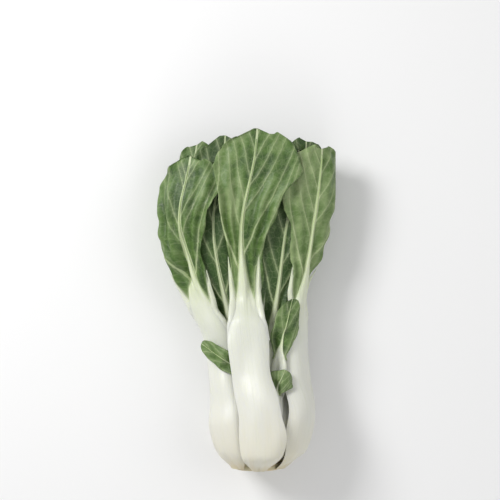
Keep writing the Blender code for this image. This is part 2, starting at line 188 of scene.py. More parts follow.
# Where the skins' stalks are wider or narrower than the solids: by what share of the half width, how
# far along, over what length and on which side.
EDGE_CHANGES = {"front": ((-0.24, 0.6, 0.15, 1), (0.13, 0.24, 0.13, 1)), "right": ((0.2, 0.32, 0.17, -1),)}

# Two white fingers run from a stalk's shoulders up a blade wider than FINGER_FROM: places along the
# leaf, half their width and their height there, on a stalk as wide and deep as stated.
FINGER_FROM = 50.0
FINGER_AT = (0.8, 0.88, 0.94, 1.0, 1.06, 1.13, 1.2, 1.28)
FINGER_HALF_WIDTH = (3.4, 3.6, 3.7, 3.5, 2.7, 1.9, 1.2, 0.3)
FINGER_TOP = (0.6, 2.0, 3.5, 4.4, 4.0, 3.0, 1.9, 0.8)
FINGER_STALK_WIDTH = 36
FINGER_STALK_DEPTH = 8.5
FINGER_GRID = (61, 15)

# A blade's margin: its tip's scallops, by depth as a share of its length and by width, and its nicks, by
# depth as a share of its half width, by length and by row of the random hills.
TIP_NICK = 0.028
TIP_LOBE = 19.0
NICKS = ((0.09, 15.0, 50), (0.022, 3.5, 90))
# Where a blade's side veins leave the midrib, as shares of its length, and how wide the main pair is.
MAIN_VEIN = 0.2
VEIN_STARTS = (-0.02, MAIN_VEIN, 0.40, 0.58, 0.74, 0.87)
MAIN_VEIN_WIDTH = 0.6
FRONT_VEIN_WIDTH = 1.2
# Blades narrower than these have fewer side veins and lower relief. Edges past the angle stay sharp.
FEW_VEINS_BELOW = 40
FULL_RELIEF_FROM = 60
SHARP_DEGREES = 55

# A leaf's tissue from deep to light and its veins, as linear colours, how strongly its side veins and fine
# net show, and how rough it is. The deep end is also painted shade for leaves whose tone is set below 0.
UNDERSIDE = dict(
    deep=(0.028, 0.070, 0.010, 1), mid=(0.084, 0.158, 0.032, 1), light=(0.225, 0.305, 0.125, 1),
    vein=(0.50, 0.58, 0.32, 1), vein_share=0.72, net_share=0.10, roughness=0.46)
UPPER_SIDE = dict(
    deep=(0.034, 0.082, 0.016, 1), mid=(0.052, 0.118, 0.024, 1), light=(0.085, 0.165, 0.042, 1),
    vein=(0.30, 0.40, 0.15, 1), vein_share=0.55, net_share=0.12, roughness=0.36)
MIDRIB_COLOUR = (0.56, 0.63, 0.38, 1)
FINGER_COLOUR = (0.70, 0.73, 0.58, 1)
# A stalk from its foot to the leaf's tip, and what is laid over that.
STALK_COLOURS = (
    (0.0, (0.68, 0.62, 0.45, 1)), (0.05, (0.74, 0.715, 0.60, 1)), (0.2, (0.745, 0.745, 0.675, 1)),
    (0.40, (0.73, 0.745, 0.665, 1)), (0.54, (0.71, 0.74, 0.60, 1)), (0.64, (0.63, 0.69, 0.46, 1)),
    (0.85, (0.42, 0.52, 0.24, 1)), (1.0, (0.22, 0.32, 0.12, 1)))
EDGE_COLOUR = (0.42, 0.55, 0.22, 1)
FIBRE_COLOUR = (0.60, 0.64, 0.46, 1)
SPECK_COLOUR = (0.62, 0.58, 0.36, 1)
FOOT_COLOUR = (0.60, 0.52, 0.32, 1)
# The crown's colours.
CREAM_DARK = (0.66, 0.62, 0.40, 1)
CREAM_LIGHT = (0.78, 0.77, 0.60, 1)
RING_COLOUR = (0.58, 0.60, 0.34, 1)
RIM_COLOUR = (0.47, 0.36, 0.19, 1)
SPOT_COLOUR = (0.42, 0.30, 0.15, 1)
FLOOR_COLOUR = (0.87, 0.87, 0.87, 1)
WORLD_STRENGTH = 0.45
# Each lamp's name, its place in metres, its power in watts and its width in metres.
LAMPS = (("key", (-0.85, 0.75, 1.0), 14, 0.5), ("fill", (1.0, 0.3, 1.2), 4, 1.0),
         ("low", (0.2, -1.1, 0.9), 3, 0.8))
# What the lamps point at, how far the floor lies below the head, and half its width, in metres.
LAMP_AIM = (0, 0.12, 0.03)
FLOOR_DROP = 0.0004
FLOOR_REACH = 3

# The photograph's size and scale, where the frame's origin is in it, the camera's height, and the height
# of the level that the scale holds for.
PHOTO_PIXELS = 500
METRES_PER_PIXEL = 0.00095
ORIGIN_PIXEL = (247.6, 424.7)
CAMERA_HEIGHT = 1.5
SCALE_LEVEL = 0.05


def spline(knots, at):
    """A smooth curve through the knots, level past its ends."""
    x, y = np.array(knots, float).T
    slope = np.gradient(y, x)
    at = np.clip(at, x[0], x[-1])
    i = np.clip(np.searchsorted(x, at) - 1, 0, len(x) - 2)
    width = x[i + 1] - x[i]
    t = (at - x[i]) / width
    return (y[i] * (1 + 2 * t) * (1 - t) ** 2 + slope[i] * width * t * (1 - t) ** 2
            + y[i + 1] * t * t * (3 - 2 * t) + slope[i + 1] * width * t * t * (t - 1))


def ease(x):
    """0 below 0, 1 above 1 and a smooth rise between."""
    x = np.clip(x, 0, 1)
    return x * x * (3 - 2 * x)


def core_speed(turn, height):
    """The core's half width and thickness, and how fast its edge passes as the turn grows."""
    a = spline(CORE_HALF_WIDTH, height)
    b = spline(CORE_HALF_DEPTH, height)
    return a, b, np.hypot(a * np.sin(turn), b * np.cos(turn))


def place(turn, depth, height):
    """World points, in millimetres."""
    a, b, edge = core_speed(turn, height)
    x = spline(MIDDLE_X, height) + np.cos(turn) * (a + depth * b / edge)
    z = spline(MIDDLE_Z, height) + np.sin(turn) * (b + depth * a / edge)
    return np.stack([x, height - REST_HEIGHT, z], axis=-1)


def floor_depth(turn, height):
    """The depth at which the head's underside would meet the surface that it lies on."""
    a, b, edge = core_speed(turn, height)
    down = np.maximum(-np.sin(turn), 0.05)
    depth = (spline(MIDDLE_Z, height) / down - b) * edge / a
    return np.where(np.sin(turn) < -0.05, depth, 1000)


def between(grid, r, c, next_c, down, across):
    """The grid's value inside a cell, so far down and across it."""
    near = grid[r, c] * (1 - across) + grid[r, next_c] * across
    far = grid[r + 1, c] * (1 - across) + grid[r + 1, next_c] * across
    return near * (1 - down) + far * down


class Wrap:
    """How deep the head is already packed, on a grid of height and turn."""

    def __init__(self):
        self.heights = np.arange(-4, HEAD_HEIGHT + 12, HEIGHT_STEP)
        crown = np.where(self.heights < CROWN_PROFILE[-1][0], spline(CROWN_PROFILE, self.heights), 0)
        self.depth = np.repeat(crown[:, None], TURN_STEPS, axis=1)

    def cells(self, turn, height):
        column = (turn / (2 * math.pi) * TURN_STEPS) % TURN_STEPS
        row = np.clip((height - self.heights[0]) / HEIGHT_STEP, 0, len(self.heights) - 1.001)
        return row, column

    def widened(self, rows, columns):
        """The deepest packing within so many cells."""
        grid = self.depth
        for shift in range(1, columns + 1):
            beside = np.maximum(np.roll(self.depth, shift, 1), np.roll(self.depth, -shift, 1))
            grid = np.maximum(grid, beside)
        wide = grid
        for shift in range(1, rows + 1):
            wide = np.maximum(wide, np.pad(grid, ((shift, 0), (0, 0)), "edge")[:-shift])
            wide = np.maximum(wide, np.pad(grid, ((0, shift), (0, 0)), "edge")[shift:])
        return wide

    def read(self, grid, turn, height):
        row, column = self.cells(turn, height)
        r, c = row.astype(int), column.astype(int)
        return between(grid, r, c % TURN_STEPS, (c + 1) % TURN_STEPS, row - r, column - c)

    def add(self, turn, height, depth):
        row, column = self.cells(turn, height)
        r, c = np.rint(row).astype(int), np.rint(column).astype(int) % TURN_STEPS
        np.maximum.at(self.depth, (r, c), depth)


def smooth_over(grid, reach, axis):
    """The grid's upper envelope, rounded off over so many cells each way along one axis."""
    kernel = np.hanning(2 * reach + 3)[1:-1]
    kernel /= kernel.sum()

    def windows(values):
        pad = [(0, 0), (0, 0)]
        pad[axis] = (reach, reach)
        return np.lib.stride_tricks.sliding_window_view(np.pad(values, pad, "edge"), 2 * reach + 1, axis)

    return windows(windows(grid).max(-1)) @ kernel


def over_the_top(grid, across):
    """For each row, a low and gentle arch that clears the whole row, as a stiff stalk lies."""
    basis = np.stack([np.ones_like(across), across, across ** 2])
    shape = (np.linalg.pinv(basis.T) @ grid.T).T
    shape[:, 2] = np.minimum(shape[:, 2], MOST_HOLLOW)
    fitted = shape @ basis
    return fitted + (grid - fitted).max(axis=1, keepdims=True)


def resample(grid, s, u):
    """A flow grid read at shares s along the leaf and u across it."""
    row = np.clip(s, 0, 1) * (FLOW_ROWS - 1)
    column = (np.clip(u, -1, 1) + 1) / 2 * (FLOW_COLUMNS - 1)
    r = np.clip(row.astype(int), 0, FLOW_ROWS - 2)
    c = np.clip(column.astype(int), 0, FLOW_COLUMNS - 2)
    return between(grid, r, c, c + 1, row - r, column - c)


def cubic_weights(t):
    """The four weights of a uniform cubic B-spline."""
    second = (3 * t ** 3 - 6 * t ** 2 + 4) / 6
    third = (-3 * t ** 3 + 3 * t ** 2 + 3 * t + 1) / 6
    return (1 - t) ** 3 / 6, second, third, t ** 3 / 6


def smooth_sample(grid, s, u):
    """As resample, with no creases between the grid's cells."""
    padded = np.pad(grid, 2, "reflect", reflect_type="odd")
    row = np.clip(s, 0, 1) * (FLOW_ROWS - 1) + 2
    column = (np.clip(u, -1, 1) + 1) / 2 * (FLOW_COLUMNS - 1) + 2
    r = np.minimum(row.astype(int), FLOW_ROWS)
    c = np.minimum(column.astype(int), FLOW_COLUMNS)
    total = 0
    for i, wr in enumerate(cubic_weights(row - r)):
        for j, wc in enumerate(cubic_weights(column - c)):
            total = total + wr * wc * padded[r + i - 1, c + j - 1]
    return total


class LaidLeaf:
    """A leaf packed on what lies under it, as a flow grid of share s along it and u across it."""

    def __init__(self, leaf, wrap):
        self.leaf = leaf
        self.phases = np.random.default_rng(round(leaf.heights[2] * 10)).uniform(0, 2 * math.pi, 6)
        s = np.linspace(0, 1, FLOW_ROWS)[:, None]
        u = np.linspace(-1, 1, FLOW_COLUMNS)[None, :]
        packed = wrap.widened(2, 5)
        self.lay_middle(s[:, 0])
        self.flow_out(s, u, wrap, packed)
        raw = wrap.read(packed, self.turn, self.height) + NEST_GAP
        stiff = smooth_over(over_the_top(raw, u[0]), STIFF_REACH, 0)
        soft = smooth_over(smooth_over(raw, 4, 1), 3, 0)
        limp = ease((self.along(s) - self.leaf.stiff_to) / 0.5)
        held = ease(self.along(s) / 0.12)
        under = raw * (1 - held) + (stiff * (1 - limp) + soft * limp) * held
        room = floor_depth(self.turn, self.height) - LEAF_THICKNESS
        room = room - self.stalk_lift(s) - self.stalk_depth(s, 0)
        want = np.minimum(self.stand_out(s, u), room)
        self.inner = np.maximum(under, want) + MEET_GAP * np.exp(-np.abs(under - want) / MEET_REACH) * held
        self.inner = self.inner + np.minimum(self.pleat(s, u), np.maximum(room - self.inner, 0))
        self.pack_into(wrap)

    def lay_middle(self, s):
        """Sets the turn and height of the leaf's midline, evenly along its length."""
        t = np.linspace(0, 2, 241)
        turn = np.radians(spline(tuple(zip((0, 1, 2), self.leaf.turns)), t))
        height = spline(tuple(zip((0, 1, 2), self.leaf.heights)), t)
        length = np.concatenate([[0], np.cumsum(np.hypot(np.diff(height), BULGE_RADIUS * np.diff(turn)))])
        self.length = length[-1]
        self.split = np.interp(1, t, length) / length[-1]
        self.mid_turn = np.interp(s * length[-1], length, turn)
        self.mid_height = np.interp(s * length[-1], length, height)

    def along(self, s):
        """0 at the foot, 1 where the blade starts and 2 at the tip."""
        return np.where(s < self.split, s / self.split, 1 + (s - self.split) / (1 - self.split))

    def stalk_half(self, s):
        return spline(STALK_WIDTH, self.along(s)) * self.leaf.stalk_width / 2

    def half(self, s, u):
        """Half the leaf's width on the side that u is on, with the blade's lobed edge."""
        p = np.clip(self.along(s) - 1, 0, 1)
        phase = np.where(u < 0, self.phases[0], self.phases[1])
        lobes = 1 + LOBE_SHARE * np.sin(p * 2 * math.pi * (self.leaf.waves + 0.7) + phase) * ease(p * 3)
        side = 1 + self.leaf.uneven * np.sign(u) * ease(p * 4) * (1 - p)
        outline = spline(self.leaf.outline, p) * self.leaf.blade_width / 2
        return np.maximum(outline * lobes * side, self.stalk_half(s) + WING)

    def flow_out(self, s, u, wrap, packed):
        """Sets the turn and height of every point of the flow grid, outward from the midline."""
        reach = wrap.read(packed, self.mid_turn, self.mid_height) + NEST_GAP
        reach = np.maximum(smooth_over(reach[:, None], 6, 0)[:, 0], self.stand_out(s, 0 * s)[:, 0])
        a, b, edge = core_speed(self.mid_turn, self.mid_height)
        step = np.gradient(self.mid_turn) * (edge + reach * a * b / edge ** 2)
        heading = np.arctan2(step, np.gradient(self.mid_height))
        lateral = u * self.half(s, u)
        drop = self.leaf.slant * np.clip(self.along(s) - 1, 0, 1) ** 3
        self.height = self.mid_height[:, None] + lateral * np.sin(heading)[:, None]
        self.height -= np.abs(drop) * np.maximum(-u * np.sign(drop), 0) ** 2
        self.turn = np.repeat(self.mid_turn[:, None], FLOW_COLUMNS, axis=1)
        middle = FLOW_COLUMNS // 2
        for side in (1, -1):
            for k in range(1, middle + 1):
                here, last = middle + side * k, middle + side * (k - 1)
                a, b, edge = core_speed(self.turn[:, last], self.height[:, last])
                across = (lateral[:, here] - lateral[:, last]) * np.cos(heading)
                self.turn[:, here] = self.turn[:, last] - across / (edge + reach * a * b / edge ** 2)

    def stand_out(self, s, u):
        """How far out the blade would stand by itself: it spreads, rolls and ruffles."""
        leaf = self.leaf
        p = self.along(s) - 1
        blade = ease(p / 0.55)
        ruffle = np.sin(p * 2 * math.pi * leaf.waves + np.where(u < 0, self.phases[2], self.phases[3]))
        roll = np.sin(p * 7 + self.phases[4]) * np.sin(u * 2.2 + self.phases[5])
        rim = ease((np.abs(u) - 0.35) / 0.65)
        tuck = leaf.tuck * ease((p - 0.6) / 0.4)
        ruffle = leaf.wave_height * rim * ruffle * ease(p / 0.3)
        return leaf.spread * blade - tuck + ruffle + 1.2 * roll * blade

    def pleat(self, s, u):
        """Soft folds that run out along the blade like a fan's, beside the midrib."""
        p = self.along(s) - 1
        side = np.where(u < 0, self.phases[2], self.phases[5])
        turn = 2 * math.pi * (2.6 * np.abs(u) - 0.25 * p) + side + 0.9 * np.sin(p * 5 + side)
        held = ease(p / 0.25) * (1 - 0.5 * ease((p - 0.65) / 0.35)) * ease((np.abs(u) - 0.06) / 0.25)
        uneven = 0.7 + 0.3 * np.sin(p * 9 + self.phases[1])
        return self.leaf.pleats * (0.5 + 0.5 * np.sin(turn)) * held * uneven

    def stalk_depth(self, s, across):
        """The stalk's thickness, full in the middle and thin at its edges."""
        full = spline(STALK_DEPTH, self.along(s)) * self.leaf.stalk_depth
        edge = np.minimum(STALK_EDGE, full * 0.55)
        return edge + (full - edge) * (1 - np.abs(across) ** STALK_ROUNDNESS)

    def stalk_lift(self, s):
        """How far a midrib is lifted to stand on the blade's back."""
        return (LEAF_THICKNESS + RIB_SEAM) * ease((self.along(s) - ONTO_BLADE[0]) / ONTO_BLADE[1])

    def pack_into(self, wrap):
        """Adds the leaf's outer side to the packing."""
        s = np.linspace(0, 1, PACK_GRID[0])[:, None] * np.ones(PACK_GRID)
        u = np.linspace(-1, 1, PACK_GRID[1])[None, :] * np.ones(PACK_GRID)
        inner = resample(self.inner, s, u)
        across = u * self.half(s, u) / self.stalk_half(s)
        blade = np.where(self.along(s) < 1, 0, inner + LEAF_THICKNESS)
        on_stalk = (np.abs(across) <= 1) & (self.along(s) <= STALK_END)
        stalk = inner + self.stalk_lift(s) + self.stalk_depth(s, np.clip(across, -1, 1))
        wrap.add(resample(self.turn, s, u), resample(self.height, s, u), np.where(on_stalk, stalk, blade))

    def point(self, s, u, lift):
        turn, height, inner = (smooth_sample(grid, s, u) for grid in (self.turn, self.height, self.inner))
        return place(turn, inner + lift, height)

    def point_past(self, s, u, lift):
        """As point, but straight on where u is past the leaf's edge."""
        held = np.clip(u, -1, 1)
        edge = self.point(s, held, lift)
        past = np.maximum(np.abs(u) - 1, 0)[..., None]
        return edge + (edge - self.point(s, held * 0.9, lift)) * past / 0.1

    def finger(self, s, side):
        """How far from the midline the white finger on one side lies, and half its width."""
        along = self.along(s)
        shoulder = spline(STALK_WIDTH, np.minimum(along, SHOULDER)) * self.leaf.stalk_width / 2
        end = self.split + (FINGER_AT[-1] - 1) * (1 - self.split)
        end = np.minimum(0.93 * self.half(end + 0 * s, side), 1.08 * shoulder)
        out = np.clip((along - SHOULDER) / (FINGER_AT[-1] - SHOULDER), 0, 1)
        wide = np.interp(along, FINGER_AT, FINGER_HALF_WIDTH) * self.leaf.stalk_width / FINGER_STALK_WIDTH
        edge = shoulder + (end - shoulder) * out
        if self.leaf.name != "front":
            onto = ease((along - 0.9) / 0.1)
            edge = np.minimum(edge, shoulder * (1 - onto) + self.half(s, side) * onto)
        return edge - wide, wide


def in_box(points):
    """The points, eased back inside the solids' box."""
    points = points.copy()
    for axis, soft in enumerate((SOFT_SIDE, SOFT_TOP, SOFT_TOP)):
        points[:, axis] = BOX_HIGH[axis] - soft * np.logaddexp(0, (BOX_HIGH[axis] - points[:, axis]) / soft)
    points[:, 0] = BOX_LOW[0] + SOFT_SIDE * np.logaddexp(0, (points[:, 0] - BOX_LOW[0]) / SOFT_SIDE)
    return np.clip(points, BOX_LOW, BOX_HIGH)


def lumps(x, y, size, seed):
    """Smooth random hills between -1 and 1, about so wide."""
    grid = np.random.default_rng(seed).uniform(-1, 1, (64, 64))
    gx, gy = x / size + 31.3, y / size + 17.7
    ix, iy = np.floor(gx).astype(int), np.floor(gy).astype(int)
    fx, fy = ease(gx - ix), ease(gy - iy)
    near = grid[ix % 64, iy % 64] * (1 - fx) + grid[(ix + 1) % 64, iy % 64] * fx
    far = grid[ix % 64, (iy + 1) % 64] * (1 - fx) + grid[(ix + 1) % 64, (iy + 1) % 64] * fx
    return near * (1 - fy) + far * fy


def keep_thick(outer, inner):
    """Where the outer sheet would sink below the floor, lifts the inner one clear of it."""
    thick = np.minimum(inner[..., 2] - outer[..., 2], LEAF_THICKNESS)
    inner[..., 2] = np.where(outer[..., 2] < 0, np.maximum(inner[..., 2], thick), inner[..., 2])


class Veins:
    """A blade's side veins, which leave the midrib in a fan and bend up towards the margin."""

    def __init__(self, laid):
        self.leaf = leaf = laid.leaf
        rng = np.random.default_rng(len(leaf.name) * 31 + int(leaf.tuck))
        self.seed = int(leaf.heights[2])
        self.span = laid.length * (1 - laid.split)
        starts = np.array(VEIN_STARTS)
        if leaf.blade_width < FEW_VEINS_BELOW:
            starts = starts[::2]
        starts[1:] += rng.uniform(-0.04, 0.04, len(starts) - 1)
        self.starts = np.concatenate([[-0.9, -0.45, -0.2], starts, [1.1, 1.3]]) * self.span
        self.shift = rng.uniform(0.04, 0.10, 2) * self.span
        self.reach = leaf.blade_width / 2 * rng.uniform(1.1, 1.3, 2)
        self.rise = rng.uniform(1.8, 2.3, 2)

    def origin(self, x, y):
        """Where on the midrib the vein through a point of the blade starts."""
        reach = np.where(x < 0, self.reach[0], self.reach[1])
        rise = np.where(x < 0, self.rise[0], self.rise[1])
        drift = 3.6 * lumps(x, y, 24.0, self.seed) * np.minimum(1, np.abs(x) / 10)
        return y + drift + rise * reach * np.log(1 - np.minimum(np.abs(x) / reach, 0.97))

    def number(self, x, y):
        """A count that is whole on each vein."""
        start = self.origin(x, y) - np.where(x < 0, 0, self.shift[0] * ease((y - 10) / 30))
        return np.interp(start, self.starts, np.arange(len(self.starts)))

    def read(self, x, y):
        """The count, how many millimetres it takes to grow by one, and how far off the nearest vein is."""
        count = self.number(x, y)
        side = np.where(x < 0, -0.3, 0.3)
        grow = np.hypot(self.number(x + side, y) - count, self.number(x, y + 0.3) - count) / 0.3
        gap = 1 / np.maximum(grow, 0.02)
        away = np.abs(count - np.rint(count)) * gap
        return count, gap, away

    def width(self, x, y):
        """How wide a vein is there: wider near the midrib, and widest on the main pair."""
        out = np.clip(np.abs(x) / (self.leaf.blade_width / 2), 0, 1)
        main = np.exp(-((self.origin(x, y) - MAIN_VEIN * self.span) / (0.09 * self.span)) ** 2)
        main = main * (FRONT_VEIN_WIDTH if self.leaf.name == "front" else MAIN_VEIN_WIDTH)
        return 0.24 + 0.34 * (1 - out) + main * (1 - 0.8 * np.clip(y / (0.8 * self.span), 0, 1))


def add_object(name, data):
    made = bpy.data.objects.new(name, data)
    bpy.context.scene.collection.objects.link(made)
    return made


def smooth_mesh(name, points, quads, marks, materials, faces_per_material):
    """A shaded mesh object from points in millimetres, with a value of each mark at each point."""
    mesh = bpy.data.meshes.new(name)
    quads = np.asarray(quads, np.int32)
    mesh.vertices.add(len(points))
    mesh.vertices.foreach_set("co", (points * MM).astype(np.float32).ravel())
    mesh.loops.add(quads.size)
    mesh.loops.foreach_set("vertex_index", quads.ravel())
    mesh.polygons.add(len(quads))
    mesh.polygons.foreach_set("loop_start", np.arange(0, quads.size, 4, dtype=np.int32))
    mesh.update(calc_edges=True)
    for mark, values in marks.items():
        values = np.asarray(values, np.float32)
        kind, field = ("FLOAT_VECTOR", "vector") if values.ndim == 2 else ("FLOAT", "value")
        mesh.attributes.new(mark, kind, "POINT").data.foreach_set(field, values.ravel())
    for material in materials:
        mesh.materials.append(material)
    slots = np.repeat(np.arange(len(materials)), faces_per_material).astype(np.int32)
    mesh.polygons.foreach_set("material_index", slots)
    mesh.polygons.foreach_set("use_smooth", np.ones(len(quads), bool))
    mesh.validate()
    return add_object(name, mesh)


def sheet_quads(grid, flip):
    """The quads between a sheet's rows of point numbers, turned over if asked."""
    corners = [grid[:-1, :-1], grid[:-1, 1:], grid[1:, 1:], grid[1:, :-1]]
    return np.stack(corners[::-1] if flip else corners, -1).reshape(-1, 4)


def two_sheets(shape, shared_foot):
    """The point numbers of two like sheets that share their outer ring, or all of it but the foot.

    The last two values are which points are used and each one's number once the others are gone.
    """
    index = np.arange(shape[0] * shape[1]).reshape(shape[:2])
    under = index + index.size
    under[:, 0], under[:, -1], under[-1, :] = index[:, 0], index[:, -1], index[-1, :]
    if shared_foot:
        under[0, :] = index[0, :]
    used = np.zeros(2 * index.size, bool)
    used[index.ravel()] = True
    used[under.ravel()] = True
    return index, under, used, np.cumsum(used) - 1


def stacked(upper, lower, used):
    """The used points of two like sheets, or their values at those points, in one list."""
    flat = [grid.reshape(-1, 3) if grid.ndim == 3 else grid.ravel() for grid in (upper, lower)]
    return np.concatenate(flat)[used]


def make_pillow(name, top, bottom, marks, materials):
    """A closed thin piece, with the first material on its top sheet and the second below."""
    index, under, used, renumber = two_sheets(top.shape, True)
    upper, lower = renumber[sheet_quads(index, False)], renumber[sheet_quads(under, True)]
    points = in_box(stacked(top, bottom, used))
    both = {mark: stacked(values, values, used) for mark, values in marks.items()}
    faces = np.concatenate([upper, lower])
    return smooth_mesh(name, points, faces, both, materials, [len(upper), len(lower)])


def blade_grid(laid, span, seed):
    """The points of a blade's skin: p along it, u across the leaf, and v across the skin's own grid.

    The margin is round at the tip, scalloped near it and nicked all along. The last value rises from 0
    on the margin to 1 where the blade has its full thickness.
    """
    leaf = laid.leaf
    rows = int(span / leaf.grain)
    columns = 2 * int(leaf.blade_width / leaf.grain / 2)
    t = np.linspace(0, 1, rows + 1)[:, None]
    p = 0.55 * t + 0.45 * np.sin(t * math.pi / 2)
    v = np.linspace(-1, 1, columns + 1)[None, :]
    v = 0.7 * v + 0.3 * np.sin(v * math.pi / 2)
    cap = np.sqrt(np.clip(1 - (np.clip((p - 0.965) / 0.035, 0, 1)) ** 2.2, 0, 1))
    aside = v * cap * laid.half(laid.split + p * (1 - laid.split) + 0 * v, v + 0 * p)
    scallop = 0.5 - 0.5 * np.cos(2 * math.pi * aside / TIP_LOBE + laid.phases[3])
    scallop = scallop + 0.3 * (1 + lumps(aside, 0 * aside, 5.0, seed + 8)) + (aside / leaf.blade_width) ** 2
    p = p * (1 - TIP_NICK * scallop * ease((p - 0.8) / 0.2))
    v = v * np.ones_like(p)
    nick = 1
    for k, (deep, long, row) in enumerate(NICKS):
        nick = nick - deep * (1 + lumps(p * span, np.sign(v) * row + 0 * p, long, seed + k)) * ease(p * 4)
    u = v * cap * np.where(np.abs(v) > 0, nick, 1)
    inside = np.minimum(1, (1 - np.abs(v)) / 0.06) * np.minimum(1, (1 - t) / 0.03)
    return p, u, v, inside


def dress_blade(laid, materials):
    """A blade's fine skin, with its veins, puckers, waves and a rounded margin."""
    leaf = laid.leaf
    span = laid.length * (1 - laid.split)
    seed = int(leaf.heights[2] * 7)
    p, u, v, inside = blade_grid(laid, span, seed)
    s = laid.split + p * (1 - laid.split)
    x, y = u * laid.half(s, u), p * span
    rib = np.abs(x) / laid.stalk_half(s)
    size = min(1, leaf.blade_width / FULL_RELIEF_FROM)
    veins = Veins(laid)
    count, gap, away = veins.read(x, y)
    wide = veins.width(x, y) * size
    ridge = np.exp(-(away / (wide + 0.45)) ** 2)
    inland = ease((1 - np.abs(v)) / 0.25) * ease((1 - p) / 0.12) * ease(p / 0.1)
    pucker = (1 - ridge) * np.minimum(1, gap / 14) * (0.6 + 0.4 * lumps(x, y, 7.0, seed + 2))
    pucker = pucker * ease((rib - 1) / 1.5)
    crinkle = 0.45 * lumps(x, y, 16.0, seed + 3) + 0.18 * lumps(x, y, 6.0, seed + 4)
    wave = np.sin(p * 2 * math.pi * 6.3 + np.sign(v) * 2.1 + laid.phases[0])
    wave = wave * ease((np.abs(v) - 0.6) / 0.4) * ease(p / 0.25) * (0.6 + 0.4 * lumps(x, y, 20.0, seed + 5))
    relief = -0.5 * pucker * inland + crinkle * ease(p / 0.15) + (0.8 + 0.4 * leaf.pleats) * wave
    thick = LEAF_THICKNESS * np.sqrt(np.clip(1 - (1 - inside) ** 2, 0, 1)) * 0.85
    middle = relief * size + LEAF_THICKNESS / 2
    proud = 0.4 * ridge * np.minimum(1, wide + 0.35) * inland * size
    finger = np.zeros_like(x)
    if leaf.blade_width > FINGER_FROM:
        lies, broad = laid.finger(s, u)
        fade = np.clip(1 - p / (FINGER_AT[-1] - 0.9), 0, 1)
        finger = np.exp(-((np.abs(x) - lies) / (0.8 + broad)) ** 2) * ease(fade * 1.5)
    outer = laid.point(s, u, middle + thick / 2 + proud)
    inner = laid.point(s, u, middle - thick / 2 + 0.3 * proud)
    keep_thick(outer, inner)
    # Painted shade: front_left and front_right get tones below 0 because they lie in the slits between the
    # outer leaves.
    tone = PALENESS_AND_SHADE.get(leaf.name, INNER_PALENESS) + 0.24 * lumps(x, y, 30.0, seed + 6)
    # Painted shade: the tone is darker in the pleats' valleys and paler on their ridges.
    tone = tone + 0.09 * (laid.pleat(s, u) - leaf.pleats / 3)
    if leaf.name == "front":
        tone = tone + 0.3 * ease(-x / 10)
    marks = dict(finger=finger, tone=tone, count=count, gap=gap, wide=wide, rib=rib, up_blade=p,
                 flat=np.stack([x, y, 0 * x + seed], -1))
    piece = make_pillow(leaf.name + "_blade_skin", outer, inner, marks, materials)
    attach(piece, "root")
    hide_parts(leaf.name + "_blade")


def dress_stalk(laid, material):
    """A stalk's fine skin: a ribbed crescent that runs out into the midrib on the blade's back."""
    leaf = laid.leaf
    fingered = leaf.blade_width > FINGER_FROM
    end = laid.split + (STALK_END - 1) * (1 - laid.split)
    rows = int(laid.length * end / (leaf.grain * 1.5))
    columns = 2 * int(leaf.stalk_width / leaf.grain / 1.7)
    t = np.linspace(0, 1, rows + 1)[:, None]
    s = (t * end) * np.ones((1, columns + 1))
    across = np.sin(np.linspace(-1, 1, columns + 1) * math.pi / 2)[None, :] * np.ones_like(t)
    along = laid.along(s)
    slim = 1 - 0.45 * ease((along - 1.2) / 0.2)
    lateral = across * laid.stalk_half(s) * slim
    for share, at, over, side in EDGE_CHANGES.get(leaf.name, ()):
        lateral = lateral * (1 + share * np.exp(-((along - at) / over) ** 2) * ease(side * across * 1.5))
    u = lateral / laid.half(s, lateral)
    seed = int(leaf.heights[2] * 11)
    y = t * end * laid.length
    full = laid.stalk_depth(s, 0 * s) * slim
    deep = laid.stalk_depth(s, across) * slim
    square = 6 - 3.6 * ease((along - 0.84) / 0.12) if fingered else 6
    round_off = np.sqrt(np.clip(1 - np.abs(across) ** square, 0, 1))
    ribs = 0.10 * np.sin(lateral * 2.3 + 1.5 * lumps(lateral, y, 40.0, seed))
    ribs = ribs + 0.12 * lumps(lateral * 6, y, 22.0, seed + 1)
    ribs = (ribs + 0.25 * lumps(lateral, y, 24.0, seed + 2)) * np.minimum(1, full / 4)
    end_round = np.sqrt(np.clip(1 - (np.clip((t - 0.975) / 0.025, 0, 1)) ** 2, 0, 1))
    body = (deep * round_off + ribs * (1 - across ** 4)) * end_round
    embed = LEAF_THICKNESS * 0.8 * ease((along - ONTO_BLADE[0]) / ONTO_BLADE[1])
    outer_lift = embed + (laid.stalk_lift(s) - embed) * round_off * end_round + body
    inner_lift = embed * 0.9
    meet = 1 - round_off * end_round
    inner_lift = inner_lift + (outer_lift - inner_lift) * ease((meet - 0.85) / 0.15)
    outer = laid.point_past(s, u, outer_lift)
    inner = laid.point_past(s, u, inner_lift)
    keep_thick(outer, inner)
    flat = np.stack([lateral, y * np.ones_like(lateral), 0 * lateral + seed], -1)
    marks = dict(along=along, across=across, flat=flat)
    fingers = [finger_sheets(laid, side, seed) for side in (-1, 1)] if fingered else []
    piece = make_stalk(leaf.name + "_stalk_skin", outer, inner, marks, fingers, material)
    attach(piece, "root")
    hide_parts(leaf.name + "_stalk")


